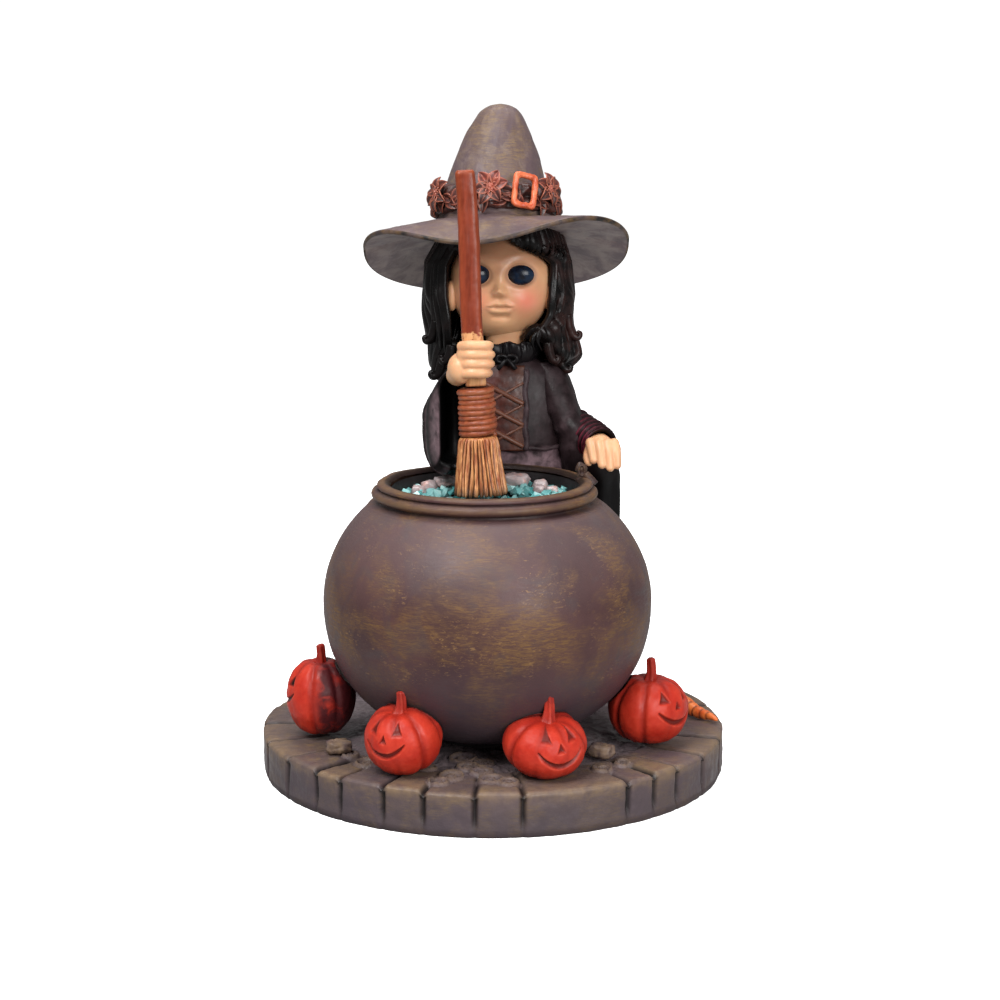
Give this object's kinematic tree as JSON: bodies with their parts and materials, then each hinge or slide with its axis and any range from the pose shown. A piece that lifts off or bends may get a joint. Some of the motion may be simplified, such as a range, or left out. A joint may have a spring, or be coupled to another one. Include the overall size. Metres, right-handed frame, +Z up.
{
  "type": "witch and cauldron table figure",
  "caption": "Cast-resin witch stirring a cauldron on a round sett plinth with jack-o'-lanterns; swinging broom arm, lamp under the potion, switch and battery door below.",
  "frame": {"origin": "middle of the plinth's underside, on the surface it stands on", "axes": "+Z up, -Y the front that the cauldron faces, +X to the viewer's right"},
  "size_m": [0.14, 0.14, 0.1979],
  "materials": {
    "base_stone": "painted resin, worn ochre edges",
    "cauldron_paint": "painted resin, satin, ochre brush strokes",
    "pumpkin_paint": "painted resin, satin",
    "robe_paint": "painted resin, satin",
    "bodice_paint": "painted resin, satin",
    "skin_paint": "painted resin",
    "hair_paint": "painted resin, glossy",
    "hat_paint": "painted resin, dry-brushed",
    "trim_paint": "painted resin",
    "buckle_paint": "painted resin, satin",
    "broom_handle_paint": "painted resin, satin",
    "bristle_paint": "painted resin, dry-brushed",
    "eye_gloss": "gloss paint",
    "potion_glass": "crushed coloured glass",
    "pebble_stone": "natural gravel",
    "clear_plastic": "clear, moulded",
    "dark_plastic": "moulded",
    "steel": "plain",
    "brass": "plain",
    "copper": "enamelled copper winding",
    "circuit_board": "solder mask",
    "wire_red": "insulation",
    "wire_black": "insulation"
  },
  "bodies": {
    "figure": {"base_plinth": "base_stone", "loose_stone": "base_stone", "wood_block": "base_stone", "carrot": "buckle_paint", "base_cover": "dark_plastic", "cover_screw_1": "steel", "cover_screw_2": "steel", "cover_screw_3": "steel", "door_pin": "steel", "cell_holder": "dark_plastic", "coin_cell_1": "steel", "coin_cell_2": "steel", "upper_contact_1": "brass", "upper_contact_2": "brass", "circuit_board": "circuit_board", "lamp": "clear_plastic", "switch_body": "steel", "lead_red": "wire_red", "lead_black": "wire_black", "cauldron": "cauldron_paint", "rim_lug": "cauldron_paint", "potion_tray": "clear_plastic", "potion_chips": "potion_glass", "potion_pebble_1": "pebble_stone", "potion_pebble_2": "pebble_stone", "pumpkin_left": "pumpkin_paint", "pumpkin_front_left": "pumpkin_paint", "pumpkin_front_right": "pumpkin_paint", "pumpkin_right": "pumpkin_paint", "robe": "robe_paint", "bodice": "bodice_paint", "collar": "robe_paint", "left_sleeve": "robe_paint", "left_hand": "skin_paint", "head": "skin_paint", "eye_left": "eye_gloss", "eye_right": "eye_gloss", "hair": "hair_paint", "hat": "hat_paint", "hat_band": "trim_paint", "hat_buckle": "buckle_paint", "flower_front": "trim_paint", "flower_left": "trim_paint", "flower_right": "trim_paint", "lower_bush": "brass", "upper_bush": "brass", "drive_coil": "copper", "drive_board": "circuit_board", "drive_bracket": "dark_plastic"},
    "stir_arm": {"right_sleeve": "robe_paint", "right_hand": "skin_paint", "broom_handle": "broom_handle_paint", "broom_binding": "trim_paint", "broom_bristles": "bristle_paint", "stir_shaft": "steel", "magnet_lever": "dark_plastic", "drive_magnet": "steel"},
    "battery_door": {"battery_door": "dark_plastic", "door_contact": "brass"},
    "switch_knob": {"switch_knob": "dark_plastic"}
  },
  "joints": [
    {"name": "stir", "type": "hinge", "parent": "figure", "child": "stir_arm", "pos_m": [-0.012, 0.03, 0.0976], "axis": [0, 0, 1], "range_deg": [-6, 6], "stiffness_Nm_per_rad": 0.002},
    {"name": "battery_door_hinge", "type": "hinge", "parent": "figure", "child": "battery_door", "pos_m": [-0.029, 0.012, 0.0016], "axis": [0, 1, 0], "range_deg": [0, 95]},
    {"name": "switch_slide", "type": "slide", "parent": "figure", "child": "switch_knob", "axis": [1, 0, 0], "range_m": [0, 0.002]}
  ]
}
